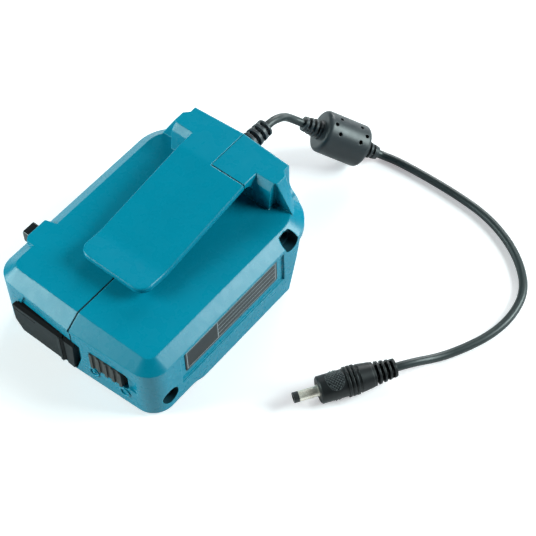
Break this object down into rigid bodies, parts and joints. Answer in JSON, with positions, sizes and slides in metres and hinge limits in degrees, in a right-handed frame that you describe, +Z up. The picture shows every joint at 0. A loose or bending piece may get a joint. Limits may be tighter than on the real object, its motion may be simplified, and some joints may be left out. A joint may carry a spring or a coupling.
{
  "type": "usb battery adapter",
  "caption": "Slide-on battery adapter with belt clip, covered USB socket, selector slider, push button, and an output cord with ferrite bead and coaxial DC plug.",
  "frame": {"origin": "on the surface that the adapter stands on, in the seam between the two shells and half-way between the ridges of the front and rear walls: the middle of the battery bay's mouth", "axes": "+Y from the front wall to the rear, along which the adapter slides on its battery; +Z up through the roof and the belt clip; +X to the side with the label"},
  "size_m": [0.154, 0.1529, 0.0423],
  "materials": {
    "shell_plastic": "fine satin grain",
    "label_film": "satin",
    "screw_steel": "zinc plated",
    "cover_rubber": "matte",
    "board_laminate": "solder mask",
    "socket_metal": "nickel plated",
    "socket_insulator": "satin",
    "contact_brass": "plated",
    "knob_plastic": "satin",
    "switch_metal": "tin plated",
    "button_plastic": "semi-gloss",
    "switch_plastic": "satin",
    "inductor_body": "matte",
    "capacitor_sleeve": "gloss",
    "chip_resin": "matte",
    "fuse_ceramic": "glazed",
    "terminal_plastic": "satin",
    "relief_rubber": "matte",
    "bead_plastic": "satin",
    "core_ferrite": "sintered",
    "plug_plastic": "satin",
    "barrel_nickel": "polished",
    "insulator_plastic": "satin",
    "cord_jacket": "satin",
    "wire_jacket": "satin"
  },
  "bodies": {
    "housing": {"left_shell": "shell_plastic", "right_shell": "shell_plastic", "rating_label": "label_film", "case_screws": "screw_steel", "board_screws": "screw_steel", "usb_cover_anchor": "cover_rubber", "usb_board": "board_laminate", "circuit_board": "board_laminate", "usb_socket": "socket_metal", "usb_tongue": "socket_insulator", "usb_contacts": "contact_brass", "power_blades": "contact_brass", "signal_blades": "contact_brass", "plug_contact": "contact_brass", "selector_switch": "switch_metal", "tact_switch": "switch_plastic", "inductor": "inductor_body", "capacitors": "capacitor_sleeve", "chips": "chip_resin", "fuse": "fuse_ceramic", "terminal_block": "terminal_plastic", "strain_relief": "relief_rubber", "bead_case": "bead_plastic", "bead_core": "core_ferrite", "plug_body": "plug_plastic", "plug_barrel": "barrel_nickel", "plug_insulator": "insulator_plastic", "cord_short": "cord_jacket", "cord_long": "cord_jacket", "internal_wires": "wire_jacket"},
    "cover": {"usb_cover": "cover_rubber"},
    "selector": {"selector_knob": "knob_plastic"},
    "button": {"power_button": "button_plastic"}
  },
  "joints": [
    {"name": "cover_hinge", "type": "hinge", "parent": "housing", "child": "cover", "pos_m": [-0.00402, -0.0491, 0.0101], "axis": [0, 0, 1], "range_deg": [0, 120]},
    {"name": "selector_slide", "type": "slide", "parent": "housing", "child": "selector", "axis": [0.9988, 0.0499, 0], "range_m": [0, 0.002]},
    {"name": "button_press", "type": "slide", "parent": "housing", "child": "button", "axis": [1, 0, 0], "range_m": [0, 0.001], "stiffness_N_per_m": 300}
  ]
}
